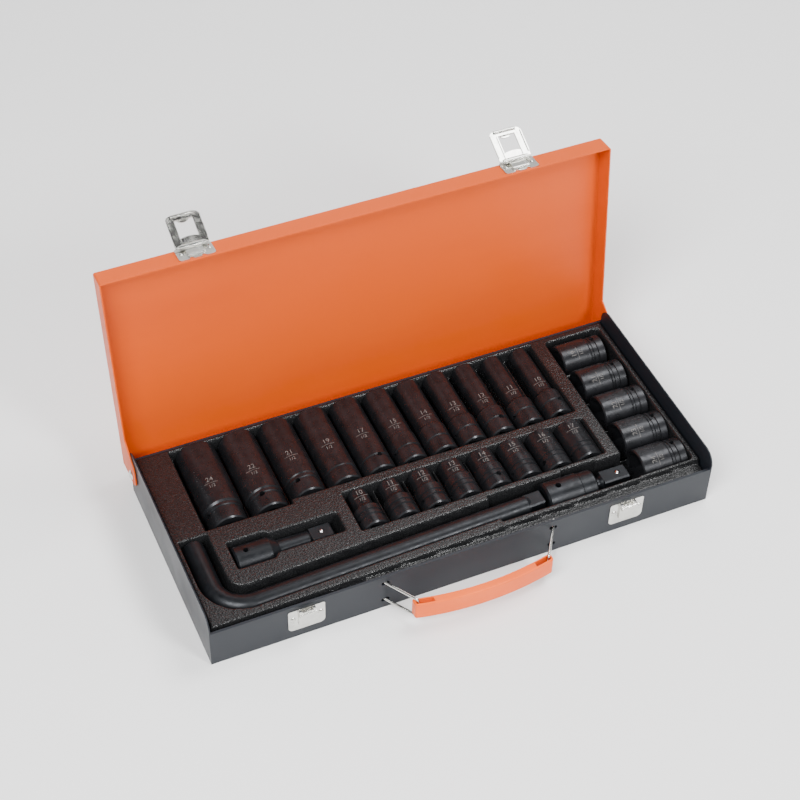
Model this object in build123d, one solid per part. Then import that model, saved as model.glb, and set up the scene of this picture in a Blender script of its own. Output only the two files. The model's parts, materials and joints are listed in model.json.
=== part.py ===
from build123d import *
import math
import os

# A socket wrench set in its sheet-steel carry case, with the lid open. Millimetres.
# Origin: centre of the tray's underside. +X along the width, +Y to the hinge at the back, +Z up.
# Layout values named x_... and y_... are distances from the tray's left side and front.

# ---------------------------------------------------------------- case
case_w, case_d = 400.0, 176.5       # tray outside width and depth
front_h, side_h = 34.0, 48.0        # height of the front and rear walls, and of the side walls
side_corner = 11.0                  # radius of the side walls' top corners
sheet = 1.0                         # sheet steel of tray and lid
hem_h = 4.0                         # folded safe edge inside the front and rear walls
lid_gap, lid_headroom = 0.5, 0.7    # air between the tray's walls and the closed lid, beside and above
lid_wall_h = 16.8                   # depth of the lid pan
lid_top = side_h + lid_headroom + sheet
lid_fold = 1.5                      # radius of the lid's folded edges
lid_open = 96.7                     # degrees between the closed and the open lid
pivot_y, pivot_z = 169.8, 25.0      # hinge axis, from the tray's front and its underside
rivet_r = 2.0                       # hinge rivet shank
running = 0.06                      # radial clearance of a running fit

# ---------------------------------------------------------------- latches
latch_x = 128.0                     # each latch from the case's middle
rivet_spread = 10.6                 # each rivet from the latch's middle
keeper_rivet_z, keeper_rivet_r = 21.0, 1.5
base_rivet_z, base_rivet_r = 42.0, 1.2
base_w, base_h, base_t = 27.6, 15.0, 0.9
pin_r, pin_head_r = 0.9, 1.5        # latch hinge pin and its heads
pin_out, pin_z = 3.2, 46.5          # pin axis in front of the lid's face, and its height when closed
barrel_r = 1.9                      # rolled barrels round the pin
barrel_w, knuckle_w = 13.0, 2.6     # middle barrel on the base, side knuckles on the loop
loop_w, loop_len, loop_t = 25.5, 25.4, 1.1
window_w = 14.0                     # the loop's window
loop_bar = 4.3                      # width of the loop's far bar
tongue_len, tongue_dome = 3.6, 1.6  # tongue across the window's hinge end, and the rise of its round edge
loop_rest = 148.0                   # degrees from hanging straight down to the open rest
keeper_w, keeper_low, keeper_high = 28.0, 8.7, 30.5
hook_w, hook_low, hook_high, hook_out = 12.8, 25.9, 30.0, 5.7
pad_low, pad_out = 13.0, 2.4        # raised pad below the hook

# ---------------------------------------------------------------- handle
wire_r = 1.05
wire_x = 67.0                       # wire pivots from the case's middle
wire_top, wire_low = 26.9, 8.4      # heights of the two legs of each wire
wire_behind, wire_hook = 4.8, 2.6   # reach of a leg behind its pivot, and of its turned end
bar_x, bar_out = 51.8, 22.6         # the wire's upright bar: from the middle, and in front of the wall
wall_slot_w, wall_slot_h = 6.4, 3.4 # the wall's slots for the legs
grip_half = 54.8
grip_low, grip_high = 9.8, 25.5
grip_r_out, grip_r_in = 242.4, 236.4    # the grip's bow
slot_r, slot_w = 239.2, 3.8         # slots down through the grip that the wires' bars slide along
slot_bias = 0.35                    # the bar starts this far inside the slot's centre line
slot_from, slot_to = 40.2, 53.4

# ---------------------------------------------------------------- insert
insert_top, skin = 35.0, 1.2
insert_side, insert_front, insert_rear = 3.2, 4.5, 174.1
skirt_front = 7.2                   # the skirt stands back from the front lip, clear of the wires' ends
insert_base = sheet + 0.3
pocket_rear = 172.6                 # inner face of the skirt behind the deep sockets
rib = 4.0                           # thickness of the cradle ribs

# ---------------------------------------------------------------- tools
square = 12.7                       # half-inch drive
square_hole = 12.9
tops = 38.1                         # the sockets' tops lie level
room_gap = 0.4                      # between a tool and its cradle
deep_len, long_deep_len, short_len = 77.0, 79.5, 38.0
deep_rear, short_rear, large_right = 172.0, 84.8, 391.0
deep_first_x, deep_gap = 49.3, 1.975
short_first_x, short_pitch = 146.0, 25.1
# hexagon size, nose diameter, drive-end diameter, turn of the retaining hole in degrees
deep_sockets = [
    (24, 32.0, 30.0, 60), (22, 30.0, 28.5, 14), (21, 28.5, 27.5, 24), (19, 27.0, 27.0, 95),
    (17, 25.5, 25.5, -14), (15, 22.8, 24.0, 75), (14, 21.2, 23.0, 110), (13, 20.0, 22.5, 80),
    (12, 18.8, 22.5, -18), (11, 17.4, 22.5, 70), (10, 16.0, 22.0, -30),
]
short_sockets = [
    (10, 15.5, 22.5, 70), (11, 17.0, 22.5, 100), (12, 18.4, 22.5, 65), (13, 19.8, 22.8, 90),
    (14, 21.0, 23.0, -12), (15, 22.2, 23.4, 75), (16, 23.2, 23.6, 60), (17, 24.0, 24.0, 80),
]
# hexagon size, diameter, place from the front, shift to the left
large_sockets = [
    (19, 28.5, 153.8, 4.0), (21, 29.0, 122.9, 2.0), (22, 29.5, 92.0, 0.5), (23, 30.0, 61.1, 0.0),
    (24, 30.5, 30.2, 0.0),
]
ext_x, ext_y, ext_z, ext_len = 40.5, 60.5, 23.6, 75.8
ext_end_r, ext_shaft_r, ext_tang = 12.0, 7.2, 17.0
bar_r, bar_z, bend_r = 8.0, 26.5, 24.0
bar_tail, bar_corner, bar_tip = (16.7, 84.2), (16.7, 18.6), (271.4, 27.0)
bar_square, bar_taper = 14.0, 3.0   # length of its square, and of the taper behind it
joint_x, joint_y, joint_z = 273.2, 27.4, 24.5
joint_r, collar_r = 13.4, 12.6
body_len, collar_end = 29.1, 41.1
ball_x = 35.3                       # universal joint's centre, from the left end of its body
ball_r, seat_r = 8.9, 9.3           # the drive's ball and the collar's seat
cross_r, neck_r = 2.5, 4.4
joint_tang, tang_start = 21.6, 12.6 # length of its square, and where that starts from the ball's centre
joint_tilt = 28.0                   # degrees that the drive can tilt
detent_r, detent_hole_r, detent_back = 2.05, 2.13, 8.5
hole_depth = 7.6                    # of the detent's hole

LEFT, FRONT = -case_w / 2, -case_d / 2
PARTS = {}


def add(name, shape):
    PARTS[name] = shape


def place(x, y, z=0.0):
    """A place given from the tray's left side and front."""
    return Pos(LEFT + x, FRONT + y, z)


def block(x0, x1, y0, y1, z0, z1):
    """A box between limits given from the tray's left side and front."""
    return place((x0 + x1) / 2, (y0 + y1) / 2, (z0 + z1) / 2) * Box(x1 - x0, y1 - y0, z1 - z0)


def rod(radius, length, axis="Z"):
    """A cylinder centred on the origin along an axis."""
    turn = {"X": Rot(0, 90, 0), "Y": Rot(90, 0, 0), "Z": Rot(0, 0, 0)}[axis]
    return turn * Cylinder(radius, length)


def merged(shapes):
    """One shape from a list."""
    whole = shapes[0]
    for shape in shapes[1:]:
        whole += shape
    return whole


# ---------------------------------------------------------------- case
def tray_shell():
    """Floor, low front and rear walls with a folded safe edge, and higher side walls with round corners."""
    side = Rectangle(case_d, side_h)
    side = fillet(side.vertices().group_by(Axis.Y)[-1], side_corner)
    wall = extrude(Plane.YZ * Pos(0, side_h / 2) * side, sheet)
    shell = Pos(LEFT, 0, 0) * wall + Pos(-LEFT - sheet, 0, 0) * wall
    shell += block(0, case_w, 0, case_d, 0, sheet)
    for y0 in (0, case_d - sheet):
        shell += block(0, case_w, y0, y0 + sheet, 0, front_h)
    for y0 in (sheet, case_d - 2 * sheet):
        shell += block(sheet, case_w - sheet, y0, y0 + sheet, front_h - hem_h, front_h)
    shell -= place(case_w / 2, pivot_y, pivot_z) * rod(rivet_r, case_w + 10, "X")
    hole = extrude(Plane.XZ * SlotOverall(wall_slot_w, wall_slot_h), sheet, both=True)
    for side_x in (-wire_x, wire_x):
        for z in (wire_top, wire_low):
            shell -= Pos(side_x, FRONT + sheet / 2, z) * hole
    for x in latch_rivet_x():
        shell -= Pos(x, FRONT, keeper_rivet_z) * rod(keeper_rivet_r, 4 * sheet, "Y")
    return shell


def latch_rivet_x():
    """The four rivet places along the case, a pair at each latch."""
    return [side * latch_x + step for side in (-1, 1) for step in (-rivet_spread, rivet_spread)]


def opened(shape):
    """Turns a piece modelled on the closed lid to the open lid's place."""
    return shape.rotate(Axis((0, FRONT + pivot_y, pivot_z), (1, 0, 0)), -lid_open)


lid_face = FRONT - lid_gap - sheet   # outer face of the closed lid's front wall
lid_half_w = case_w / 2 + lid_gap + sheet


def lid_shell():
    """A pan with folded edges, and an ear at each side that reaches down to the hinge."""
    width, depth = 2 * lid_half_w, case_d + 2 * (lid_gap + sheet)
    pan = Pos(0, 0, lid_top - lid_wall_h / 2) * Box(width, depth, lid_wall_h)
    pan = fillet(pan.edges().filter_by(Axis.Z) + pan.edges().group_by(Axis.Z)[-1], lid_fold)
    ear = Polygon((142, 34), (157.5, 15.2), (173, 15.2), (177.5, 22), (177.5, 34), align=None)
    corners = ear.vertices().sort_by(Axis.Y)[:2]
    ear = extrude(Plane.YZ * Pos(FRONT, 0) * fillet(corners, 4.0), sheet)
    pan += Pos(-lid_half_w, 0, 0) * ear + Pos(lid_half_w - sheet, 0, 0) * ear
    pan -= Pos(0, 0, lid_top - sheet - lid_wall_h / 2) * Box(width - 2 * sheet, depth - 2 * sheet, lid_wall_h)
    pan -= place(case_w / 2, pivot_y, pivot_z) * rod(rivet_r + running, case_w + 10, "X")
    for x in latch_rivet_x():
        pan -= Pos(x, lid_face, base_rivet_z) * rod(base_rivet_r, 4 * sheet, "Y")
    return opened(pan)


def hinge_rivets():
    """Two rivets through the lid's ears and the tray's side walls, with a flat and a domed head."""
    pair = []
    for side in (-1, 1):
        shank = Pos(side * (case_w / 2 + 0.2), 0, 0) * rod(rivet_r, 3.4, "X")
        inner = Pos(side * (case_w / 2 - sheet - 0.45), 0, 0) * rod(3.4, 0.9, "X")
        dome = Pos(side * (lid_half_w + 0.2 - 3.4), 0, 0) * Sphere(5.2)
        dome &= Pos(side * (lid_half_w + 0.2 + 1.0), 0, 0) * rod(3.9, 2.0, "X")
        pair.append(Pos(0, FRONT + pivot_y, pivot_z) * (shank + inner + dome))
    return Compound(children=pair)


# ---------------------------------------------------------------- latches
def dome_rivet(shank_r, head_r, length):
    """A rivet along Y whose domed head faces the front; its shank starts at y = 0 and runs back."""
    head = (Pos(0, 1.6, 0) * Sphere(head_r + 0.4)) & (Pos(0, -1.0, 0) * rod(head_r, 2.0, "Y"))
    tail = Pos(0, length + 0.3, 0) * rod(head_r * 0.9, 0.6, "Y")
    return head + Pos(0, length / 2, 0) * rod(shank_r, length, "Y") + tail


def keeper(side):
    """A plate on the tray's front with a hollow-topped hook that the latch's loop snaps over."""
    mid = (keeper_low + keeper_high) / 2
    plate = Rectangle(keeper_w, keeper_high - keeper_low)
    plate = fillet(plate.vertices().group_by(Axis.Y)[0], 4.0)
    plate = fillet(plate.vertices().group_by(Axis.Y)[-1], 1.5)
    shape = Pos(0, 0, mid) * extrude(Plane.XZ * plate, base_t)
    hook = Polygon(
        (0, pad_low), (-pad_out, pad_low + 2.4), (-pad_out, hook_low), (-hook_out + 0.7, hook_low),
        (-hook_out, hook_low + 0.7), (-hook_out, hook_high - 0.9), (-hook_out + 0.9, hook_high),
        (0, hook_high), align=None)
    shape += extrude(Plane.YZ * hook, hook_w / 2, both=True)
    shape -= Pos(0, -hook_out / 2, hook_high) * Box(8.4, 3.0, 5.0)
    for x in (-rivet_spread, rivet_spread):
        shape -= Pos(x, 0, keeper_rivet_z) * rod(keeper_rivet_r, 6, "Y")
    return Pos(side * latch_x, FRONT, 0) * shape


def latch_base(side):
    """A plate on the lid's front with a raised middle that rolls into the loop's barrel."""
    low = lid_top - 0.6 - base_h
    plate = fillet(Rectangle(base_w, base_h).vertices(), 2.0)
    for x in (-4.6, 4.6):
        plate -= Pos(x, -base_h / 2) * Circle(1.7)
    shape = Pos(0, 0, low + base_h / 2) * extrude(Plane.XZ * plate, base_t)
    strap = Pos(0, -1.6, (low + 2.6 + pin_z) / 2) * Box(barrel_w, 2.4, pin_z - low - 2.6)
    strap = fillet(strap.edges().filter_by(Axis.X).group_by(Axis.Z)[0].sort_by(Axis.Y)[0], 1.2)
    shape += strap
    shape += Pos(0, -pin_out, pin_z) * rod(barrel_r, barrel_w, "X")
    shape -= Pos(0, -pin_out, pin_z) * rod(pin_r, barrel_w + 2, "X")
    for x in (-rivet_spread, rivet_spread):
        shape -= Pos(x, 0, base_rivet_z) * rod(base_rivet_r, 6, "Y")
    return opened(Pos(side * latch_x, lid_face, 0) * shape)


def latch_pin(side):
    """The headed pin that the loop turns on."""
    half = barrel_w / 2 + knuckle_w + 0.5
    pin = rod(pin_r, 2 * half, "X")
    for end in (-1, 1):
        pin += Pos(end * (half + 0.3), 0, 0) * rod(pin_head_r, 0.6, "X")
    return opened(Pos(side * latch_x, lid_face - pin_out, pin_z) * pin)


def latch_loop(side):
    """A stamped frame, folded back along its edges, with a window, a tongue, a tab and a curled finger lip."""
    face = Pos(0, -loop_len / 2) * Rectangle(loop_w, loop_len)
    face = fillet(face.vertices().group_by(Axis.Y)[0], 3.4)
    face = fillet(face.vertices().group_by(Axis.Y)[-1], 1.2)
    window_low, window_high = -(loop_len - loop_bar), -(barrel_r + 0.5)
    window = Pos(0, (window_low + window_high) / 2) * Rectangle(window_w, window_high - window_low)
    opening = Pos(0, -barrel_r / 2) * Rectangle(barrel_w + 0.6, barrel_r + 1.6)
    tongue = Pos(0, window_high - tongue_len / 2) * Rectangle(window_w, tongue_len)
    tongue += Pos(0, window_high - tongue_len) * Ellipse(window_w / 2, tongue_dome)
    frame = extrude(Plane.XZ * (face - window - opening), loop_t)
    frame += Pos(0, -0.1, 0) * extrude(Plane.XZ * (tongue & window), 0.9)
    rim = Plane.XZ * (offset(window, 0.8) - window)
    frame += extrude(rim, -0.7) - Box(barrel_w + 0.6, 8, 2 * barrel_r + 1.4)
    edge_len = loop_len - 7.0
    for x in (-1, 1):
        frame += Pos(x * (loop_w / 2 - 0.4), 0, -loop_len / 2 - 0.6) * Box(0.8, 2.0, edge_len)
    frame += Pos(0, 0.1, -loop_len + 0.7) * rod(1.3, loop_w - 8.0, "X")
    tab = (Pos(0, window_low - 0.4) * Ellipse(4.4, 2.3)) & (Pos(0, window_low) * Rectangle(12, 4))
    frame += Pos(0, -loop_t + 0.2, 0) * extrude(Plane.XZ * tab, 1.2)
    frame = Pos(0, -0.3, 0) * frame
    for x in (-1, 1):
        centre = x * (barrel_w / 2 + 0.3 + knuckle_w / 2)
        frame += Pos(centre, 0, 0) * rod(barrel_r, knuckle_w, "X")
        frame -= Pos(x * (barrel_w / 2 + knuckle_w + 0.8), 0, 0) * rod(pin_head_r + 0.4, 1.3, "X")
    frame -= rod(pin_r + running, loop_w + 4, "X")
    frame = frame.rotate(Axis.X, -loop_rest)
    return opened(Pos(side * latch_x, lid_face - pin_out, pin_z) * frame)


# ---------------------------------------------------------------- handle
bow_y = FRONT - bar_out + math.sqrt((slot_r - slot_bias) ** 2 - bar_x ** 2)   # centre of the grip's bow


def bow_ring(inner, outer, low, high):
    """A slice of ring about the centre of the grip's bow."""
    ring = Circle(outer) - Circle(inner)
    return Pos(0, bow_y, low) * extrude(ring, high - low)


def handle_grip():
    """A bowed bar with soft edges and a slot down through it near each end."""
    span = Pos(0, bow_y - grip_r_out, 0) * Box(2 * grip_half, 60, 100)
    grip = bow_ring(grip_r_in, grip_r_out, grip_low, grip_high) & span
    ends = [edge for edge in grip.edges().filter_by(Axis.Z) if edge.center().Y < FRONT - bar_out]
    grip = fillet(ends, 2.0)
    grip = fillet(grip.edges().filter_by(GeomType.CIRCLE).filter_by(
        lambda edge: abs(edge.radius - grip_r_out) < 0.01), 1.2)
    slots = bow_ring(slot_r - slot_w / 2, slot_r + slot_w / 2, grip_low - 1, grip_high + 1)
    for side in (-1, 1):
        reach = Pos(side * (slot_from + slot_to) / 2, FRONT - bar_out, grip_low)
        grip -= slots & (reach * Box(slot_to - slot_from, 40, 60))
    return grip


def handle_wire(side):
    """A bent wire: two legs through the front wall, turned over behind it, and an upright bar in the grip."""
    pivot = Vector(side * wire_x, FRONT + sheet / 2, 0)
    bar = Vector(side * bar_x, FRONT - bar_out, 0)
    end = pivot - (bar - pivot).normalized() * wire_behind
    points = [
        (end.X, end.Y, wire_top + wire_hook), (end.X, end.Y, wire_top), (bar.X, bar.Y, wire_top),
        (bar.X, bar.Y, wire_low), (end.X, end.Y, wire_low), (end.X, end.Y, wire_low - wire_hook)]
    path = FilletPolyline(*points, radius=1.7)
    section = Plane(origin=path @ 0, z_dir=path % 0) * Circle(wire_r)
    return sweep(section, path=path)


# ---------------------------------------------------------------- insert
def rounded(x0, x1, y0, y1, radius):
    """A rectangle with round corners, from the tray's left side and front."""
    return Pos(LEFT + (x0 + x1) / 2, FRONT + (y0 + y1) / 2) * RectangleRounded(x1 - x0, y1 - y0, radius)


def outline(points, radius):
    """A polygon with every corner rounded, from the tray's left side and front."""
    corners = [(LEFT + x, FRONT + y) for x, y in points]
    return fillet(Polygon(*corners, align=None).vertices(), radius)


def pockets():
    """Each pocket's name, outline and floor height. Where two meet, the deeper one keeps the ground."""
    large = rounded(343, 393, 14.1, 169.7, 4.0)
    drive = outline([
        (223, 10), (347, 10), (347, 40), (324.6, 40.4), (322.7, 42.2), (294, 42.2), (288, 41.2), (223, 40.6)],
        1.0)
    deep = outline([
        (28.6, 87.4), (97, 87.4), (99, 92.1), (333.4, 92.1), (333.4, 122), (330.4, 126), (330.4, pocket_rear),
        (28.6, pocket_rear)], 1.4)
    short = rounded(133, 334.4, 45.6, 85.6, 3.0)
    extension = outline([
        (37.4, 44.8), (67, 44.8), (75, 49), (124, 49), (124, 70.2), (77, 70.2), (71, 73.8), (37.4, 73.8)], 2.0)
    long_leg = outline([(28, 10), (236, 10), (236, 37.4), (130, 31.4), (28, 31.4)], 1.0)
    short_leg = rounded(5.2, 28, 10, 86.4, 4.0)
    bend = outline([(27, 30.4), (42, 30.4), (42, 31), (28, 45), (27, 45)], 0.2)
    return [
        ("large", large, 6.6), ("drive", drive - large, 10.2), ("bar", long_leg + short_leg + bend - drive, 17.4),
        ("deep", deep, 3.6), ("short", short, 13.0), ("extension", extension, 10.4)]


def cradles():
    """Ribs that rise from the pocket floors under the tools and stay below their bores."""
    steps = block(28.8, 130, 112, 112 + rib, 3.0, 15.0) + block(130, 230, 112, 112 + rib, 3.0, 18.0)
    steps += block(230, 330.2, 112, 112 + rib, 3.0, 20.5)
    return {
        "deep": steps + Pos(0, 38.0, 0) * steps,
        "short": block(133.2, 334.2, 55, 55 + rib, 12.4, 20.0) + block(133.2, 334.2, 76, 76 + rib, 12.4, 20.0),
        "large": block(361, 361 + rib, 14.3, 169.5, 6.0, 16.5) + block(380, 380 + rib, 14.3, 169.5, 6.0, 16.5),
        "drive": block(284, 284 + rib, 10.2, 40.6, 9.6, 17.0),
        "extension": block(48, 48 + rib, 45, 73.6, 9.8, 16.5) + block(88, 88 + rib, 49.2, 70, 9.8, 22.0),
        "bar": block(70, 70 + rib, 10.2, 31.2, 16.8, 24.0) + block(190, 190 + rib, 10.2, 34.4, 16.8, 24.0)
        + block(5.4, 27.8, 66, 66 + rib, 16.8, 24.0)}


def insert_sheet(places):
    """A flat sheet, open over every pocket, on a skirt that stands on the tray's floor."""
    low, left, right = insert_top - skin, insert_side, case_w - insert_side
    skirt = rounded(left, right, skirt_front, insert_rear, 3.0) - skirt_inside()
    body = Pos(0, 0, insert_base) * extrude(skirt, low - insert_base)
    top = rounded(left, right, insert_front, insert_rear, 3.0)
    for _, shape, _ in places:
        top -= shape
    return body + Pos(0, 0, low) * extrude(top, skin)


def skirt_inside():
    return rounded(insert_side + skin, case_w - insert_side - skin, skirt_front + skin, pocket_rear, 2.0)


def insert_tubs(places, tools):
    """A tub for each pocket: its floor, walls up to the sheet, ribs, and a riser where a deeper one meets it."""
    tubs, taken, ribs = {}, merged([shape for _, shape, _ in places]), cradles()
    for number, (name, shape, floor) in enumerate(places):
        walls = (offset(shape, skin) & skirt_inside()) - taken
        taken += walls
        tub = Pos(0, 0, floor - skin) * (extrude(shape, skin) + extrude(walls, insert_top - floor))
        for _, deeper, deeper_floor in places[:number]:
            riser = shape & offset(deeper, skin)
            if deeper_floor < floor and riser and riser.area > 1:
                tub += Pos(0, 0, deeper_floor - skin) * extrude(riser, floor - deeper_floor)
        tubs[name] = tub + (ribs[name] - tools)
    return tubs


# ---------------------------------------------------------------- sockets
def hexagon(size, length):
    """A hexagonal bar of a given width across its flats, upwards from the origin."""
    return extrude(RegularPolygon(size / 2, 6, major_radius=False), length)


def socket(size, length, nose_d, drive_d, nose_len, grooves, turn):
    """A socket standing on its drive end: hexagon on top, square hole below, grooves round the drive end."""
    nose, drive = nose_d / 2, drive_d / 2
    step = length - nose_len
    profile = [(0, 0), (drive - 1.0, 0), (drive, 1.0)]
    for centre, width, depth in grooves:
        for at, radius in ((-1.0, drive), (-0.6, drive - depth), (0.6, drive - depth), (1.0, drive)):
            profile.append((radius, centre + at * width / 2))
    slope = abs(drive - nose) * 1.2 + 0.4
    profile += [(drive, step - slope), (nose, step)] if abs(drive - nose) > 0.1 else []
    profile += [(nose, length - 0.9), (nose - 0.9, length), (0, length)]
    body = revolve(Plane.XZ * Polygon(*profile, align=None), Axis.Z)
    hex_depth = min(0.45 * length, size * 1.1 + 4)
    body -= Pos(0, 0, length - hex_depth) * hexagon(size + 0.2, hex_depth + 1)
    mouth = (size + 0.2) / math.sqrt(3)
    body -= Pos(0, 0, length - 0.5) * Cone(mouth - 0.9, mouth + 0.1, 1.0)
    body -= Pos(0, 0, length / 2) * Cylinder(min(size / 2 - 0.6, 8.5), length)
    body -= Pos(0, 0, 6.5) * Box(square_hole, square_hole, 17.0)
    pin = Pos(0, 0, grooves[0][0]) * rod(2.0, 60, "X")
    return body.rotate(Axis.Z, 90 - turn) - pin.rotate(Axis.Z, 90 - turn)


def deep_centres():
    """Places of the deep sockets from the left, a small gap apart."""
    xs = [deep_first_x]
    for (_, nose, drive, _), (_, next_nose, next_drive, _) in zip(deep_sockets, deep_sockets[1:]):
        xs.append(xs[-1] + (max(nose, drive) + max(next_nose, next_drive)) / 2 + deep_gap)
    return xs


def lying_sockets():
    """Every socket in its pocket, with the room that its cradle leaves round it."""
    made, room = {}, []
    for number, (x, (size, nose, drive, turn)) in enumerate(zip(deep_centres(), deep_sockets)):
        length = long_deep_len if number < 2 else deep_len
        collar = 18.0 if nose >= drive else 28.0
        spot = place(x, deep_rear - length, tops - max(nose, drive) / 2) * Rot(-90, 0, 0)
        made[f"deep_socket_{size}"] = spot * socket(
            size, length, nose, drive, length - collar, [(12.5, 3.2, 0.8)], turn)
        room.append(spot * Pos(0, 0, length / 2) * Cylinder(max(nose, drive) / 2 + room_gap, length + 4))
    for number, (size, nose, drive, turn) in enumerate(short_sockets):
        x = short_first_x + number * short_pitch
        spot = place(x, short_rear - short_len, tops - drive / 2) * Rot(-90, 0, 0)
        made[f"short_socket_{size}"] = spot * socket(
            size, short_len, nose, drive, 15.0, [(8.5, 2.4, 0.8), (13.0, 2.0, 0.7)], turn)
        room.append(spot * Pos(0, 0, short_len / 2) * Cylinder(drive / 2 + room_gap, short_len + 4))
    for size, diameter, y, shift in large_sockets:
        spot = place(large_right - shift, y, tops - diameter / 2) * Rot(0, -90, 0)
        made[f"large_socket_{size}"] = spot * socket(
            size, short_len, diameter, diameter - 1.2, 24.0, [(7.5, 2.4, 0.8), (11.4, 2.0, 0.7)], 75)
        room.append(spot * Pos(0, 0, short_len / 2) * Cylinder(diameter / 2 + room_gap, short_len + 6))
    return made, merged(room)


# ---------------------------------------------------------------- drive tools
def detent_hole():
    """The hole in one face of a square drive for the detent ball and its spring."""
    return Pos(0, 0, square / 2 - hole_depth / 2 + 0.5) * Cylinder(detent_hole_r, hole_depth + 1)


def detent_ball():
    """A ball that stands 0.9 mm proud of the square's face."""
    return Pos(0, 0, square / 2 + 0.9 - detent_r) * Sphere(detent_r)


def detent_spring():
    """A small compression spring on the floor of the detent's hole."""
    coil = Helix(pitch=0.9, height=2.7, radius=1.45)
    wire = sweep(Plane(origin=coil @ 0, z_dir=coil % 0) * Circle(0.25), path=coil)
    return Pos(0, 0, square / 2 - hole_depth + 0.3) * wire


def square_tang(length):
    """A half-inch square along X from the origin, with a bevelled tip."""
    tang = Pos(length / 2, 0, 0) * Box(length, square, square)
    tang = chamfer(tang.edges().filter_by(Axis.X), 1.1)
    return chamfer(tang.faces().sort_by(Axis.X)[-1].edges(), 1.0)


def extension_bar():
    """A drive extension: square socket end, hollowed shoulder, round shaft and square tang."""
    shaft = ext_len - ext_tang
    shoulder = [(27.0, ext_end_r), (34.0, ext_shaft_r + 0.6)]
    curve = ThreePointArc(shoulder[0], (31.6, ext_end_r - 2.6), shoulder[1])
    lines = Polyline((27.0, ext_end_r), (1.2, ext_end_r), (0, ext_end_r - 1.2), (0, 0), (shaft, 0),
                     (shaft, ext_shaft_r - 0.9), (shaft - 1.6, ext_shaft_r), (34.0, ext_shaft_r + 0.6))
    profile = make_face(curve.edges() + lines.edges())
    bar = revolve(profile, Axis.X)
    bar -= Pos(7.0, 0, 0) * Box(16.0, square_hole, square_hole)
    bar -= Pos(9.0, 0, 0) * rod(2.0, 40, "Z")
    bar += Pos(shaft, 0, 0) * square_tang(ext_tang)
    return bar - Pos(ext_len - detent_back, 0, 0) * detent_hole()


def l_bar():
    """A bent bar: a short leg, a long bend and a long leg whose end is forged to a square."""
    tail, corner, _ = bar_line()
    neck = bar_end().position
    path = FilletPolyline(tail, corner, neck, radius=bend_r)
    bar = sweep(Plane(origin=path @ 0, z_dir=path % 0) * Circle(bar_r), path=path)
    bar = chamfer(bar.faces().sort_by(Axis.Y)[-1].edges(), 1.2)
    taper = Pos(bar_taper / 2, 0, 0) * Rot(0, 90, 0) * Cone(bar_r, square / 2 + 0.4, bar_taper)
    bar += bar_end() * (taper + square_tang(bar_square))
    return bar - bar_detent() * detent_hole()


def bar_line():
    """The L-bar's tail, corner and tip."""
    return [Vector(x + LEFT, y + FRONT, bar_z) for x, y in (bar_tail, bar_corner, bar_tip)]


def bar_end():
    """The place and direction of the L-bar's square end."""
    _, corner, tip = bar_line()
    along = (tip - corner).normalized()
    neck = tip - along * bar_square
    return Pos(neck.X, neck.Y, neck.Z) * Rot(0, 0, math.degrees(math.atan2(along.Y, along.X)))


def bar_detent():
    """The place of the L-bar's detent, in the underside of its square."""
    return bar_end() * Pos(bar_square - detent_back, 0, 0) * Rot(180, 0, 0)


def joint_body():
    """The universal joint's socket end: square hole, cross-drilled for a retaining pin, and a round seat."""
    body = Pos(body_len / 2, 0, 0) * rod(joint_r, body_len, "X")
    body = chamfer(body.faces().sort_by(Axis.X)[0].edges(), 1.4)
    body = chamfer(body.faces().sort_by(Axis.X)[-1].edges(), 0.8)
    body -= Pos(7.0, 0, 0) * Box(16.0, square_hole, square_hole)
    body -= Pos(10.8, 0, 0) * rod(2.3, 40, "Z")
    return body - Pos(ball_x, 0, 0) * Sphere(seat_r + 1.3)


def joint_collar():
    """The sleeve that holds the ball end, with blind holes for the cross's upright pin."""
    mouth = math.radians(30)
    lip_x, lip_r = ball_x + seat_r * math.sin(mouth), seat_r * math.cos(mouth)
    seat = CenterArc((ball_x, 0), seat_r, 90, -30)
    lines = Polyline((lip_x, lip_r), (collar_end, lip_r + 1.0), (collar_end, collar_r - 1.4),
                     (collar_end - 1.4, collar_r), (body_len, collar_r), (body_len, seat_r), (ball_x, seat_r))
    collar = revolve(make_face(seat.edges() + lines.edges()), Axis.X)
    return collar - Pos(ball_x, 0, 0) * rod(cross_r + running, 2 * 11.3, "Z")


def joint_cross():
    """A cross of two pins: the upright one turns in the collar, the level one in the ball."""
    return Pos(ball_x, 0, 0) * (rod(cross_r, 2 * 11.0, "Z") + rod(cross_r, 2 * 8.0, "Y"))


def joint_drive():
    """A slotted ball on a necked half-inch square with a detent hole."""
    half, reach = cross_r + 0.4, 16.0
    spread = half + reach * math.tan(math.radians(joint_tilt + 1))
    wedge = Polygon((-half, 0), (-spread, reach), (spread, reach), (half, 0), align=None)
    slot = extrude(Plane.XZ * wedge, half, both=True)
    ball = Sphere(ball_r) - slot - slot.rotate(Axis.X, 180) - rod(cross_r + running, 40, "Y")
    neck = Pos(10.0, 0, 0) * rod(neck_r, 8.0, "X")
    flare = Pos(tang_start - 1.2, 0, 0) * Rot(0, 90, 0) * Cone(neck_r, square / 2, 2.6)
    tang = Pos(tang_start, 0, 0) * square_tang(joint_tang)
    drive = ball + (neck - Sphere(ball_r - 0.6)) + flare + tang
    return Pos(ball_x, 0, 0) * (drive - Pos(tang_start + joint_tang - detent_back, 0, 0) * detent_hole())


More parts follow.
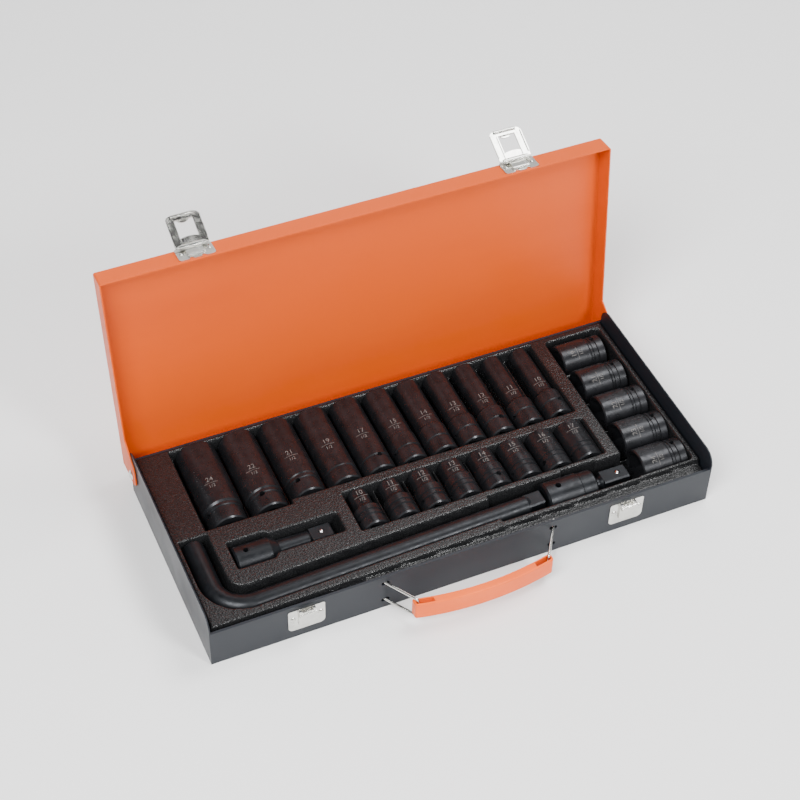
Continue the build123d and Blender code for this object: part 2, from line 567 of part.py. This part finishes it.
# ---------------------------------------------------------------- assembly
add("tray_shell", tray_shell())
add("lid_shell", lid_shell())
add("hinge_rivets", hinge_rivets())
add("keeper_left", keeper(-1))
add("keeper_right", keeper(1))
add("keeper_rivets", Compound(children=[
    Pos(x, FRONT - base_t, keeper_rivet_z) * dome_rivet(keeper_rivet_r, 2.4, base_t + sheet)
    for x in latch_rivet_x()]))
add("latch_rivets", Compound(children=[
    opened(Pos(x, lid_face - base_t, base_rivet_z) * dome_rivet(base_rivet_r, 1.9, base_t + sheet))
    for x in latch_rivet_x()]))
for name, side in (("left", -1), ("right", 1)):
    add(f"latch_base_{name}", latch_base(side))
    add(f"latch_pin_{name}", latch_pin(side))
    add(f"latch_loop_{name}", latch_loop(side))
    add(f"handle_wire_{name}", handle_wire(side))
add("handle_grip", handle_grip())

sockets, room = lying_sockets()
for name, shape in sockets.items():
    add(name, shape)

extension_spot = place(ext_x, ext_y, ext_z)
add("extension_bar", extension_spot * extension_bar())
add("extension_ball", extension_spot * Pos(ext_len - detent_back, 0, 0) * detent_ball())
add("extension_spring", extension_spot * Pos(ext_len - detent_back, 0, 0) * detent_spring())
room += extension_spot * Pos(16.0, 0, 0) * rod(ext_end_r + room_gap, 40, "X")
room += extension_spot * Pos(60.0, 0, 0) * rod(ext_shaft_r + room_gap, 60, "X")

add("l_bar", l_bar())
add("l_bar_ball", bar_detent() * detent_ball())
add("l_bar_spring", bar_detent() * detent_spring())
bar_lie = bar_end() * Pos(-90, 0, 0)
room += bar_lie * rod(bar_r + room_gap, 320, "X")
room += place(bar_tail[0], 60, bar_z) * rod(bar_r + room_gap, 60, "Y")

joint_spot = place(joint_x, joint_y, joint_z)
add("joint_body", joint_spot * joint_body())
add("joint_collar", joint_spot * joint_collar())
add("joint_cross", joint_spot * joint_cross())
add("joint_drive", joint_spot * joint_drive())
joint_detent = joint_spot * Pos(ball_x + tang_start + joint_tang - detent_back, 0, 0)
add("joint_ball", joint_detent * detent_ball())
add("joint_spring", joint_detent * detent_spring())
room += joint_spot * Pos(20, 0, 0) * rod(joint_r + room_gap, 60, "X")

places = pockets()
add("insert_sheet", insert_sheet(places))
for name, tub in insert_tubs(places, room).items():
    add(f"insert_tub_{name}", tub)

os.makedirs("parts", exist_ok=True)
for name, shape in PARTS.items():
    export_step(shape, f"parts/{name}.step")
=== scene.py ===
import json
import math
import bpy
import numpy as np
from mathutils import Matrix, Vector

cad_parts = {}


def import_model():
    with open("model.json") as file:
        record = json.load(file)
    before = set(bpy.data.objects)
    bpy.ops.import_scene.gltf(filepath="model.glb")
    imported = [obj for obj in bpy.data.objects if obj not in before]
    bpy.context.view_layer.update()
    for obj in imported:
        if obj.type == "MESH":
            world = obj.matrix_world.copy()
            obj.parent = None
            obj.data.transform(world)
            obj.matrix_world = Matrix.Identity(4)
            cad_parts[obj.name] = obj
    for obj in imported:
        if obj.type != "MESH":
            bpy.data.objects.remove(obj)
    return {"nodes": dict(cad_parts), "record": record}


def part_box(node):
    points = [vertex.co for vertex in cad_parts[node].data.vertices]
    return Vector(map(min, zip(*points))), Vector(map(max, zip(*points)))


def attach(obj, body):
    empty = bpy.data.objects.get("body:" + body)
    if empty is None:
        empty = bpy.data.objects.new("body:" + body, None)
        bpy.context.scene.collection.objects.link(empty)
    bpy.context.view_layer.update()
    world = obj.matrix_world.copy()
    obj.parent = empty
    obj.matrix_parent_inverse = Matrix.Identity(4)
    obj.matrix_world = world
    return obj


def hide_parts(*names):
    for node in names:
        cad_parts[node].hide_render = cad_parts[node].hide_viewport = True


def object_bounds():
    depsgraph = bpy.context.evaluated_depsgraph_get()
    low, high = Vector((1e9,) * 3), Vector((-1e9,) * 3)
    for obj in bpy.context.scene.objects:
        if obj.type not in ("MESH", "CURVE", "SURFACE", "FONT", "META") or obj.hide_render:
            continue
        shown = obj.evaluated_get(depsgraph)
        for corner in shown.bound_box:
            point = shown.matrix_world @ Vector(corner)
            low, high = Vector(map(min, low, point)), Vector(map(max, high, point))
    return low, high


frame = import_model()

cad_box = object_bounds()
MM = 0.001
DEEP = sorted((n for n in frame["nodes"] if n.startswith("deep_socket")), key=lambda n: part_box(n)[0][0])
SHORT = sorted((n for n in frame["nodes"] if n.startswith("short_socket")), key=lambda n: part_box(n)[0][0])
LARGE = sorted((n for n in frame["nodes"] if n.startswith("large_socket")), key=lambda n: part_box(n)[0][1])
BODY_OF = {node: body for body, nodes in frame["record"]["behaviour"]["bodies"].items() for node in nodes}


# ---------------------------------------------------------------- materials
def material(name, color, metallic=0.0, roughness=0.5, specular=0.5):
    """A new principled material with the values that are the same all over."""
    mat = bpy.data.materials.new(name)
    mat.use_nodes = True
    shader = mat.node_tree.nodes["Principled BSDF"]
    shader.inputs["Base Color"].default_value = (*color, 1)
    shader.inputs["Metallic"].default_value = metallic
    shader.inputs["Roughness"].default_value = roughness
    shader.inputs["Specular IOR Level"].default_value = specular
    mat.node_tree.nodes.new("ShaderNodeTexCoord").name = "place"
    return mat


def texture(mat, kind, scale, detail=2.0, stretch=(1, 1, 1), **settings):
    """A procedural texture in the piece's own coordinates; scale is in features per metre."""
    nodes, links = mat.node_tree.nodes, mat.node_tree.links
    mapping = nodes.new("ShaderNodeMapping")
    mapping.inputs["Scale"].default_value = stretch
    links.new(nodes["place"].outputs["Object"], mapping.inputs["Vector"])
    tex = nodes.new(kind)
    links.new(mapping.outputs["Vector"], tex.inputs["Vector"])
    tex.inputs["Scale"].default_value = scale
    if "Detail" in tex.inputs:
        tex.inputs["Detail"].default_value = detail
    for key, value in settings.items():
        setattr(tex, key, value)
    return tex.outputs["Fac"] if "Fac" in tex.outputs else tex.outputs["Distance"]


def spread(mat, value, low, high, start=0.3, end=0.7):
    """Maps a texture's range to a number's range."""
    node = mat.node_tree.nodes.new("ShaderNodeMapRange")
    mat.node_tree.links.new(value, node.inputs["Value"])
    for name, number in (("From Min", start), ("From Max", end), ("To Min", low), ("To Max", high)):
        node.inputs[name].default_value = number
    return node.outputs["Result"]


def tint(mat, value, color_a, color_b, start=0.3, end=0.7):
    """Blends two colours by a texture and feeds the base colour."""
    nodes, links = mat.node_tree.nodes, mat.node_tree.links
    ramp = nodes.new("ShaderNodeValToRGB")
    ramp.color_ramp.elements[0].position, ramp.color_ramp.elements[1].position = start, end
    ramp.color_ramp.elements[0].color = (*color_a, 1)
    ramp.color_ramp.elements[1].color = (*color_b, 1)
    links.new(value, ramp.inputs["Fac"])
    links.new(ramp.outputs["Color"], nodes["Principled BSDF"].inputs["Base Color"])


def rough(mat, value, low, high, start=0.3, end=0.7):
    """Varies the roughness by a texture."""
    shader = mat.node_tree.nodes["Principled BSDF"]
    mat.node_tree.links.new(spread(mat, value, low, high, start, end), shader.inputs["Roughness"])


def bump(mat, layers):
    """Stacks bumps: each layer is a texture, its height in millimetres and its strength."""
    nodes, links = mat.node_tree.nodes, mat.node_tree.links
    normal = None
    for value, height, strength in layers:
        node = nodes.new("ShaderNodeBump")
        node.inputs["Distance"].default_value = height * MM
        node.inputs["Strength"].default_value = strength
        links.new(value, node.inputs["Height"])
        if normal:
            links.new(normal, node.inputs["Normal"])
        normal = node.outputs["Normal"]
    links.new(normal, nodes["Principled BSDF"].inputs["Normal"])


def enamel(name, color, worn, roughness, scuff):
    """Sprayed enamel: orange peel, cloudy gloss and a few long faint scuffs."""
    mat = material(name, color, specular=0.28)
    noise = "ShaderNodeTexNoise"
    cloud = texture(mat, noise, 22, 5)
    lines = texture(mat, noise, 60, 6, stretch=(0.12, 1, 1))
    tint(mat, texture(mat, noise, 9, 8, stretch=(0.35, 1, 1.6)), color, worn, 0.48, 0.86)
    rough(mat, cloud, roughness - 0.06, roughness + 0.08)
    bump(mat, [(texture(mat, noise, 700, 2), 0.05, 0.25), (lines, 0.03, scuff), (cloud, 0.25, 0.12)])
    return mat


def phosphate(name, color, grain, roughness, height):
    """Black phosphate on forged steel: fine tooth, a cloudy oil sheen painted into the base colour as
    lighter clouds, and a trace of rubbing.
    """
    mat = material(name, color, metallic=0.5, specular=0.36)
    noise = "ShaderNodeTexNoise"
    cloud = texture(mat, noise, 120, 5)
    # painted sheen: the clouds lighten the base colour up to 1.7 times, standing in for the gloss of the
    # oil
    tint(mat, cloud, color, tuple(c * 1.7 for c in color), 0.35, 0.8)
    rough(mat, texture(mat, noise, 260, 6), roughness - 0.07, roughness + 0.1)
    bump(mat, [(texture(mat, noise, grain, 3), height, 0.35), (cloud, 0.12, 0.2)])
    return mat


def haircell():
    """Formed sheet with a pebbled grain whose bright points glint."""
    mat = material("haircell_sheet", (0.008, 0.0083, 0.009), roughness=0.2, specular=0.32)
    pebble = texture(mat, "ShaderNodeTexVoronoi", 640)
    noise = texture(mat, "ShaderNodeTexNoise", 1100, 4)
    tint(mat, noise, (0.006, 0.0063, 0.0068), (0.016, 0.0162, 0.017), 0.35, 0.72)
    rough(mat, noise, 0.10, 0.26)
    bump(mat, [(pebble, 0.30, 0.6), (noise, 0.09, 0.45)])
    return mat


def nickel(name, color, roughness):
    """Bright plate with fine drawn lines and a slightly uneven surface."""
    mat = material(name, color, metallic=1.0)
    noise = "ShaderNodeTexNoise"
    rough(mat, texture(mat, noise, 400, 6, stretch=(1, 0.2, 1)), roughness - 0.05, roughness + 0.14)
    tint(mat, texture(mat, noise, 150, 4), color, tuple(c * 0.78 for c in color), 0.4, 0.85)
    bump(mat, [(texture(mat, noise, 90, 2), 0.08, 0.2), (texture(mat, noise, 1800, 3), 0.01, 0.2)])
    return mat


def moulded():
    """Moulded orange plastic with a faint flow and spark texture."""
    mat = material("grip_orange", (0.9, 0.12, 0.0), roughness=0.42, specular=0.3)
    noise = "ShaderNodeTexNoise"
    flow = texture(mat, noise, 35, 4, stretch=(0.3, 1, 1))
    tint(mat, flow, (0.90, 0.125, 0.002), (0.76, 0.085, 0.0), 0.35, 0.8)
    rough(mat, texture(mat, noise, 180, 3), 0.32, 0.46)
    bump(mat, [(texture(mat, noise, 1300, 2), 0.03, 0.3), (texture(mat, noise, 45, 2), 0.2, 0.12)])
    return mat


TRAY = enamel("tray_enamel", (0.012, 0.0145, 0.0195), (0.017, 0.020, 0.025), 0.36, 0.12)
LID = enamel("lid_enamel", (0.64, 0.080, 0.0), (0.56, 0.064, 0.0), 0.42, 0.2)
SOCKET = phosphate("black_phosphate", (0.013, 0.0135, 0.0155), 2400, 0.30, 0.03)
FORGED = phosphate("forged_black", (0.008, 0.009, 0.011), 900, 0.36, 0.10)
INSERT = haircell()
PLATE = nickel("nickel_plate", (0.66, 0.655, 0.62), 0.14)
BRIGHT = nickel("bright_steel", (0.80, 0.80, 0.80), 0.10)
GRIP = moulded()
ETCH = material("etched_mark", (0.14, 0.13, 0.125), roughness=0.6)
tint(ETCH, texture(ETCH, "ShaderNodeTexNoise", 1500, 3), (0.04, 0.038, 0.036), (0.17, 0.16, 0.15))


def dress(node):
    """The material that a CAD node wears."""
    if node.endswith(("_ball", "_spring")):
        return BRIGHT
    if node.startswith(("keeper", "latch", "handle_wire", "hinge")):
        return PLATE
    if node.startswith(("l_bar", "joint", "extension")):
        return FORGED
    if node.startswith("insert"):
        return INSERT
    return {"tray_shell": TRAY, "lid_shell": LID, "handle_grip": GRIP}.get(node, SOCKET)


for name, node in frame["nodes"].items():
    node.data.materials.clear()
    node.data.materials.append(dress(name))


# ---------------------------------------------------------------- formed insert
def union_box(names):
    """The box round several nodes, in millimetres: x0, x1, y0, y1."""
    boxes = [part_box(n) for n in names]
    return tuple(f(b[i][axis] for b in boxes) / MM for axis, i, f in
                 ((0, 0, min), (0, 1, max), (1, 0, min), (1, 1, max)))


def rect(x, y, x0, x1, y0, y1, radius):
    """Signed distance to a rectangle with round corners, negative inside."""
    dx = np.abs(x - (x0 + x1) / 2) - (x1 - x0) / 2 + radius
    dy = np.abs(y - (y0 + y1) / 2) - (y1 - y0) / 2 + radius
    return np.hypot(np.maximum(dx, 0), np.maximum(dy, 0)) + np.minimum(np.maximum(dx, dy), 0) - radius


def segment(x, y, a, b):
    """Distance to a straight line between two points."""
    ax, ay, bx, by = *a, *b
    t = np.clip(((x - ax) * (bx - ax) + (y - ay) * (by - ay)) / ((bx - ax) ** 2 + (by - ay) ** 2), 0, 1)
    return np.hypot(x - ax - t * (bx - ax), y - ay - t * (by - ay))


def blend_min(a, b, k):
    """Smooth union of two distances."""
    h = np.clip(0.5 + 0.5 * (b - a) / k, 0, 1)
    return b * (1 - h) + a * h - k * h * (1 - h)


def scallops(x, nodes, axis, gap, ridge, low):
    """A floor of half-round beds under a row of tools, with low ridges between them."""
    floor = np.full_like(x, ridge)
    for name in nodes:
        lo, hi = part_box(name)
        mid, top, r = (lo[axis] + hi[axis]) / 2 / MM, hi[2] / MM, (hi[2] - lo[2]) / 2 / MM
        bed = top - r - np.sqrt(np.maximum((r + gap) ** 2 - (x - mid) ** 2, 0))
        floor = np.where(np.abs(x - mid) < r + gap, np.minimum(floor, bed), floor)
    return np.maximum(floor, low)


def front_step(d):
    """How far the sheet drops a distance beyond its front crest: a rolled edge, then a flange in shadow."""
    roll, drop = 1.3, 5.4
    t = np.clip(d, 0, roll)
    return roll - np.sqrt(roll ** 2 - t ** 2) + np.clip((d - roll) / 0.12, 0, drop - roll)


def grown(box, left, right, front, rear):
    """A box x0, x1, y0, y1 with room added on each side."""
    return box[0] - left, box[1] + right, box[2] - front, box[3] + rear


def socket_pockets(x, y):
    """Each row of sockets: the signed distance to its pocket, and the floor under it."""
    gap = 0.9
    deep, short, large = union_box(DEEP), union_box(SHORT), union_box(LARGE)
    longest, others = union_box(DEEP[:2]), union_box(DEEP[2:])
    wide = grown((deep[0], longest[1], deep[2], deep[3]), 5.2, 0.8, 4.2, 0.5)
    rest = grown((deep[0], deep[1], others[2], deep[3]), 5.2, 0.5, 2.4, 0.5)
    deep_outline = np.minimum(rect(x, y, *wide, 1.6), rect(x, y, *rest, 1.6))
    return [
        (deep_outline, scallops(x, DEEP, 0, gap, 23.0, 3.6)),
        (rect(x, y, *grown(short, 1.6, 0.6, 1.8, 0.6), 2.4), scallops(x, SHORT, 0, gap, 27.0, 12.6)),
        (rect(x, y, *grown(large, 5.6, 1.6, 0.7, 1.2), 4.0), scallops(y, LARGE, 1, gap, 24.0, 6.4))]


def drive_pockets(x, y):
    """The pockets of the universal joint and of the extension, with their floors."""
    joint = union_box([n for n in frame["nodes"] if n.startswith("joint_")])
    bar_end, corner = union_box(["l_bar"])[1], 1.4
    body_start, collar_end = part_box("joint_body")[0][0] / MM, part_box("joint_collar")[1][0] / MM
    drive = rect(x, y, bar_end - 40, joint[1] + 4.0, joint[2] - 0.6, joint[3] + 0.4, corner)
    wide = rect(x, y, body_start + 20, collar_end + 9, joint[2], joint[3] + 2.0, corner)
    ex0, ex1, ey0, ey1 = union_box(["extension_bar"])
    head_end, corner = 28, 2.6
    head = rect(x, y, ex0 - 2.4, ex0 + head_end, ey0 - 2.6, ey1 + 0.7, corner)
    shaft = rect(x, y, ex0 + 4, ex1 + 7.5, ey0 + 1.2, ey1 - 2.6, corner)
    return [(np.minimum(drive, wide), np.full_like(x, 10.0)),
            (blend_min(head, shaft, 5.0), np.where(x < ex0 + head_end + 3, 10.3, 15.6))]


def bar_trough(x, y, bar):
    """The trough of the L-bar: along its short leg, round its bend and along its leaning long leg."""
    bend, floor = 24.0, 17.2
    leg_x, leg_y, r = bar["x"], bar["y"], bar["r"]
    short_leg = segment(x, y, (leg_x, bar["rear"]), (leg_x, leg_y + bend))
    long_leg = segment(x, y, (leg_x + bend, leg_y + 0.3), (bar["tip_x"] + 8, bar["tip_y"] + 0.3))
    angle = np.arctan2(y - leg_y - bend, x - leg_x - bend)
    arc = np.abs(np.hypot(x - leg_x - bend, y - leg_y - bend) - bend)
    in_bend = (angle < -math.pi / 2 + 0.05) & (angle > -math.pi)
    line = np.minimum(np.minimum(short_leg, long_leg), np.where(in_bend, arc, 1e3)) - r
    behind = y - leg_y - (x - leg_x) * bar["lean"]
    margin = np.where(x > leg_x + r, 1.3 + 3.1 * np.clip(behind / r, 0, 1), 2.0)
    return np.maximum(line - margin, y - bar["rear"] - 2.0), np.full_like(x, floor)


def bar_line():
    """Where the L-bar lies, in millimetres: its corner, its far detent, its radius and its lean."""
    x0, _, y0, rear = union_box(["l_bar"])
    r = (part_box("l_bar")[1][2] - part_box("l_bar")[0][2]) / 2 / MM
    tip_x, tip_y, _ = ((a + b) / 2 / MM for a, b in zip(*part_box("l_bar_ball")))
    x, y = x0 + r, y0 + r
    return {"x": x, "y": y, "r": r, "rear": rear, "tip_x": tip_x, "tip_y": tip_y,
            "lean": (tip_y - y) / (tip_x - x)}


def insert_heights(x, y, top):
    """The formed sheet's height over the tray, with every pocket pressed into it."""
    rim, draft = 1.1, 0.055
    bar = bar_line()
    crest = bar["y"] - bar["r"] - 5.6 + (x - bar["x"]) * bar["lean"] * 0.75
    heights = np.full_like(x, top) - front_step(crest - y)
    for distance, floor in socket_pockets(x, y) + drive_pockets(x, y) + [bar_trough(x, y, bar)]:
        inside = np.maximum(-distance + rim * 0.4, 0)
        rolled = rim - np.sqrt(np.maximum(rim ** 2 - np.minimum(inside, rim) ** 2, 0))
        wall = rolled + np.maximum(inside - rim, 0) / draft
        heights = np.minimum(heights, np.maximum(top - wall, floor))
    return heights


def formed_insert():
    """A height field with a turned-down edge and a flat underside, where the CAD insert is."""
    lo, hi = (Vector(corner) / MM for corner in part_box("insert_sheet"))
    step, edge = 0.62, 1.6
    xs = np.linspace(lo.x, hi.x, int((hi.x - lo.x) / step))
    ys = np.linspace(lo.y, hi.y, int((hi.y - lo.y) / step))
    x, y = np.meshgrid(xs, ys)
    heights = insert_heights(x, y, hi.z)
    outer = np.clip(-rect(x, y, lo.x, hi.x, lo.y, hi.y, 2.5), 0, edge)
    heights -= edge - np.sqrt(np.maximum(edge ** 2 - (edge - outer) ** 2, 0))
    columns, rows = len(xs), len(ys)
    top = np.stack([x, y, heights], axis=-1).reshape(-1, 3) * MM
    ring = [i for i in range(columns)] + [columns * j + columns - 1 for j in range(1, rows)]
    ring += [columns * (rows - 1) + i for i in range(columns - 2, -1, -1)]
    ring += [columns * j for j in range(rows - 2, 0, -1)]
    below = top[ring].copy()
    below[:, 2] = lo.z * MM
    faces = [(j * columns + i, j * columns + i + 1, (j + 1) * columns + i + 1, (j + 1) * columns + i)
             for j in range(rows - 1) for i in range(columns - 1)]
    first = len(top)
    for k, corner in enumerate(ring):
        after = (k + 1) % len(ring)
        faces.append((corner, first + k, first + after, ring[after]))
    faces.append(tuple(first + k for k in range(len(ring) - 1, -1, -1)))
    mesh = bpy.data.meshes.new("formed_insert")
    mesh.from_pydata([tuple(p) for p in np.vstack([top, below])], [], faces)
    mesh.shade_smooth()
    piece = bpy.data.objects.new("formed_insert", mesh)
    bpy.context.scene.collection.objects.link(piece)
    piece.data.materials.append(INSERT)
    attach(piece, BODY_OF["insert_sheet"])
    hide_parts(*[n for n in frame["nodes"] if n.startswith("insert")])


formed_insert()


# ---------------------------------------------------------------- size marks
def flat_text(words, height):
    """The outline of some words as a flat mesh's vertices and faces, centred on the origin."""
    curve = bpy.data.curves.new("words", "FONT")
    curve.body, curve.size = words, height
    curve.align_x, curve.align_y = "CENTER", "CENTER"
    curve.resolution_u = 3
    holder = bpy.data.objects.new("words", curve)
    bpy.context.scene.collection.objects.link(holder)
    bpy.context.view_layer.update()
    mesh = bpy.data.meshes.new_from_object(holder)
    points = [v.co.copy() for v in mesh.vertices]
    faces = [tuple(p.vertices) for p in mesh.polygons]
    bpy.data.objects.remove(holder)
    bpy.data.curves.remove(curve)
    bpy.data.meshes.remove(mesh)
    return points, faces


def mark_outline(size):
    """A size over a line over the drive's size, flat: vertices and faces."""
    points, faces = [], []
    for words, height, shift in ((size, 5.8 * MM, 3.6 * MM), ("1/2", 4.2 * MM, -3.0 * MM)):
        row_points, row_faces = flat_text(words, height)
        faces += [tuple(i + len(points) for i in f) for f in row_faces]
        points += [Vector((p.x, p.y + shift, 0)) for p in row_points]
    steps, length, width = 10, 11 * MM, 0.35 * MM
    for k in range(steps):
        a, b = ((k + j) / steps * length - length / 2 for j in (0, 1))
        start = len(points)
        points += [Vector((px, py, 0)) for px, py in ((a, 0), (b, 0), (b, width), (a, width))]
        faces.append((start, start + 1, start + 2, start + 3))
    return points, faces


def size_mark(node, along, turn):
    """The mark on the round of a socket; along is its distance from the socket's front or right end."""
    lo, hi = (Vector(c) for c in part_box(node))
    middle, proud = (lo + hi) / 2, 0.04 * MM
    radius = proud + ((hi.z - lo.z) / 2 if node in LARGE else NOSE[node])
    points, faces = mark_outline(node.rsplit("_", 1)[1])
    wrapped = []
    for p in points:
        angle = p.x / radius + turn
        out, up = radius * math.sin(angle), radius * math.cos(angle)
        if node in LARGE:
            wrapped.append((hi.x - along * MM - p.y, middle.y + out, middle.z + up))
        else:
            wrapped.append((middle.x + out, lo.y + along * MM + p.y, middle.z + up))
    mesh = bpy.data.meshes.new(f"{node}_mark")
    mesh.from_pydata(wrapped, [], faces)
    piece = bpy.data.objects.new(f"{node}_mark", mesh)
    bpy.context.scene.collection.objects.link(piece)
    piece.data.materials.append(ETCH)
    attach(piece, BODY_OF[node])


def radius_at(node, y):
    """The socket's outer radius at a distance from its front, from the CAD mesh."""
    lo, hi = (Vector(c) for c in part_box(node))
    mid = Vector(((lo.x + hi.x) / 2, 0, (lo.z + hi.z) / 2))
    near = [math.hypot(v.co.x - mid.x, v.co.z - mid.z) for v in frame["nodes"][node].data.vertices
            if v.co.y > lo.y + y * MM]
    return max(near)


NOSE = {n: radius_at(n, 30) for n in DEEP} | {n: radius_at(n, 15.5) for n in SHORT}
for name in DEEP:
    size_mark(name, 36, -0.12)
for name in SHORT:
    size_mark(name, 27, -0.12)
for name in LARGE:
    size_mark(name, 24, -0.45)


# ---------------------------------------------------------------- floor, light and camera
def stage():
    """A wide pale floor that curves up behind the object."""
    mesh = bpy.data.meshes.new("floor")
    floor_z = cad_box[0][2] - 0.0002
    size, rear, curve, wall, steps = 4.0, 1.6, 0.8, 1.6, 12
    profile = [(-size, floor_z), (rear, floor_z)]
    profile += [(rear + curve * math.sin(a), floor_z + curve * (1 - math.cos(a)))
                for a in (math.pi / 2 * k / steps for k in range(1, steps + 1))]
    profile.append((rear + curve, floor_z + curve + wall))
    points = [(x, y, z) for y, z in profile for x in (-size, size)]
    faces = [(2 * k, 2 * k + 1, 2 * k + 3, 2 * k + 2) for k in range(len(profile) - 1)]
    mesh.from_pydata(points, [], faces)
    mesh.shade_smooth()
    floor = bpy.data.objects.new("floor", mesh)
    bpy.context.scene.collection.objects.link(floor)
    pale = material("floor_pale", (0.95, 0.95, 0.95), roughness=0.9, specular=0.1)
    tint(pale, texture(pale, "ShaderNodeTexNoise", 3, 2), (0.95, 0.95, 0.95), (0.935, 0.935, 0.935))
    floor.data.materials.append(pale)


def softbox(name, place, target, size, power):
    """A square area light aimed at a point."""
    light = bpy.data.lights.new(name, "AREA")
    light.shape, light.size, light.energy = "SQUARE", size, power
    lamp = bpy.data.objects.new(name, light)
    lamp.location = place
    lamp.rotation_euler = (Vector(target) - Vector(place)).to_track_quat("-Z", "Y").to_euler()
    bpy.context.scene.collection.objects.link(lamp)


def camera():
    """The view from the front left and above, with a slight roll."""
    lens_mm, sensor_mm, roll = 84.06, 36.0, math.radians(1.64)
    place = Vector((-0.4094, -0.8444, 1.0781))
    forward = Vector((0.29093, 0.62952, -0.72046)).normalized()
    right = forward.cross(Vector((0, 0, 1))).normalized()
    up = right.cross(forward)
    tilted_right = right * math.cos(roll) + up * math.sin(roll)
    tilted_up = up * math.cos(roll) - right * math.sin(roll)
    data = bpy.data.cameras.new("camera")
    data.lens, data.sensor_width = lens_mm, sensor_mm
    eye = bpy.data.objects.new("camera", data)
    turn = Matrix((tilted_right, tilted_up, -forward)).transposed()
    eye.matrix_world = Matrix.Translation(place) @ turn.to_4x4()
    bpy.context.scene.collection.objects.link(eye)
    bpy.context.scene.camera = eye


def world():
    """Surroundings that go from pale at the front to dark overhead and behind."""
    sky = bpy.data.worlds.new("studio")
    sky.use_nodes = True
    nodes, links = sky.node_tree.nodes, sky.node_tree.links
    place, ramp = nodes.new("ShaderNodeTexCoord"), nodes.new("ShaderNodeValToRGB")
    rise = nodes.new("ShaderNodeVectorMath")
    rise.operation = "DOT_PRODUCT"
    rise.inputs[1].default_value = (0.0, 0.5, 0.85)
    ends = ((0.1, (0.95, 0.95, 0.95, 1)), (0.7, (0.05, 0.05, 0.055, 1)))
    for element, (position, color) in zip(ramp.color_ramp.elements, ends):
        element.position, element.color = position, color
    links.new(place.outputs["Generated"], rise.inputs[0])
    links.new(rise.outputs["Value"], ramp.inputs["Fac"])
    links.new(ramp.outputs["Color"], nodes["Background"].inputs["Color"])
    nodes["Background"].inputs["Strength"].default_value = 0.6
    bpy.context.scene.world = sky


stage()
softbox("key", (-0.9, -0.7, 1.5), (0, 0, 0), 0.8, 46)
softbox("fill", (0.5, -1.2, 1.05), (0, 0, 0), 0.35, 20)
softbox("over", (0.95, 0.25, 1.9), (0, 0, 0), 0.9, 33)
softbox("behind", (0.7, 1.5, 1.9), (0, 0, 0), 0.9, 9)
camera()
world()
